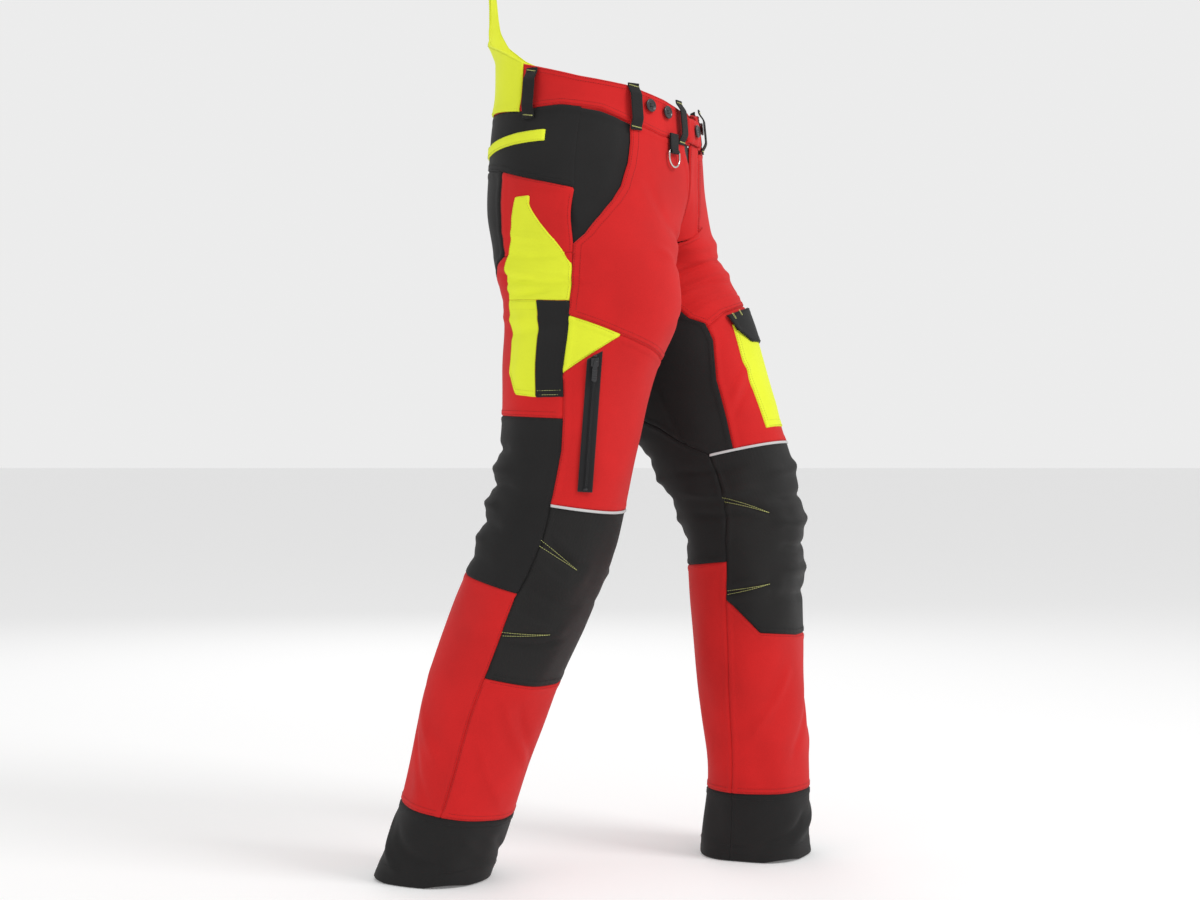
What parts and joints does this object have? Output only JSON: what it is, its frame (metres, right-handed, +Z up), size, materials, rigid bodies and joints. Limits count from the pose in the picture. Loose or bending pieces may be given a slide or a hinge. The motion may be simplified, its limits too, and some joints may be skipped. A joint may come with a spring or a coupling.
{
  "type": "chainsaw protection trousers",
  "caption": "Chainsaw protection trousers in a walking stance, with front leg guards, kidney guard, zipped thigh pocket, flap pocket, belt loops and brace buttons.",
  "frame": {"origin": "on the ground under the middle of the garment, between the two hems", "axes": "+Z up, -Y to the wearer's front, -X to the wearer's right"},
  "size_m": [0.458, 0.4861, 1.177],
  "materials": {
    "red_fabric": "matt stretch woven polyamide, faint crosswise grain",
    "black_fabric": "matt woven polyamide",
    "knee_fabric": "rougher reinforced woven polyamide",
    "pocket_lining": "fine knitted mesh",
    "yellow_fabric": "high-visibility brushed polyester",
    "silver_piping": "glass-bead reflective tape over a cord",
    "cut_protection": "layered cut-protection knit, off-white",
    "webbing": "ribbed narrow webbing",
    "zip_tape": "knitted tape with a moulded coil",
    "black_plastic": "moulded, half gloss",
    "zip_metal": "black-lacquered die casting",
    "nickel": "nickel-plated wire"
  },
  "bodies": {
    "garment": {"waistband": "red_fabric", "kidney_guard": "yellow_fabric", "back_stripe": "yellow_fabric", "side_pocket_right": "yellow_fabric", "thigh_wedge_right": "yellow_fabric", "cargo_pocket_left": "yellow_fabric", "back_yoke": "black_fabric", "side_pocket_end_right": "black_fabric", "seat_right": "black_fabric", "gusset_right": "black_fabric", "cuff_right": "black_fabric", "back_knee_right": "black_fabric", "knee_patch_right": "knee_fabric", "hip_pocket_bag_right": "pocket_lining", "hip_panel_right": "red_fabric", "back_thigh_right": "red_fabric", "front_thigh_right": "red_fabric", "thigh_front_lower_right": "red_fabric", "calf_front_right": "red_fabric", "calf_back_right": "red_fabric", "side_panel_right": "yellow_fabric", "piping_right": "silver_piping", "cut_protection_pad_right": "cut_protection", "belt_loop_side_right": "webbing", "belt_loop_hip_right": "webbing", "belt_loop_front_right": "webbing", "brace_button_outer_right": "black_plastic", "brace_button_inner_right": "black_plastic", "seat_left": "black_fabric", "gusset_left": "black_fabric", "cuff_left": "black_fabric", "back_knee_left": "black_fabric", "knee_patch_left": "knee_fabric", "hip_pocket_bag_left": "pocket_lining", "hip_panel_left": "red_fabric", "back_thigh_left": "red_fabric", "front_thigh_left": "red_fabric", "thigh_front_lower_left": "red_fabric", "calf_front_left": "red_fabric", "calf_back_left": "red_fabric", "side_panel_left": "yellow_fabric", "piping_left": "silver_piping", "cut_protection_pad_left": "cut_protection", "belt_loop_side_left": "webbing", "belt_loop_hip_left": "webbing", "belt_loop_front_left": "webbing", "brace_button_outer_left": "black_plastic", "brace_button_inner_left": "black_plastic", "ring_tab": "webbing", "thigh_zip": "zip_tape", "fly_zip_tape_right": "zip_tape"},
    "zip_slider": {"thigh_zip_slider": "zip_metal"},
    "zip_pull": {"thigh_zip_pull": "zip_metal"},
    "ring": {"d_ring": "nickel"},
    "pocket_flap": {"cargo_flap_left": "black_fabric"},
    "front_closure": {"fly_placket_left": "red_fabric", "waist_tab": "red_fabric", "closure_button": "black_plastic"},
    "fly_zip_slider": {"fly_slider": "zip_metal"}
  },
  "joints": [
    {"name": "thigh_zip_slide", "type": "slide", "parent": "garment", "child": "zip_slider", "axis": [0.0327, 0.0919, -0.9952], "range_m": [0, 0.15]},
    {"name": "zip_pull_swing", "type": "hinge", "parent": "zip_slider", "child": "zip_pull", "pos_m": [-0.1954, -0.07278, 0.65966], "axis": [-0.5811, 0.8119, 0.0559], "range_deg": [0, 160]},
    {"name": "ring_swing", "type": "hinge", "parent": "garment", "child": "ring", "pos_m": [-0.05869, -0.12674, 0.93535], "axis": [-0.9816, 0.1908, 0], "range_deg": [0, 120]},
    {"name": "pocket_flap_lift", "type": "hinge", "parent": "garment", "child": "pocket_flap", "pos_m": [0.127, -0.1648, 0.748], "axis": [-0.9674, -0.2531, 0], "range_deg": [0, 90]},
    {"name": "front_closure_open", "type": "hinge", "parent": "garment", "child": "front_closure", "pos_m": [0.038, -0.127, 0.89], "axis": [0, 0, 1], "range_deg": [0, 75]},
    {"name": "fly_zip_slide", "type": "slide", "parent": "garment", "child": "fly_zip_slider", "axis": [-0.0788, 0.4109, -0.9083], "range_m": [0, 0.09]}
  ]
}
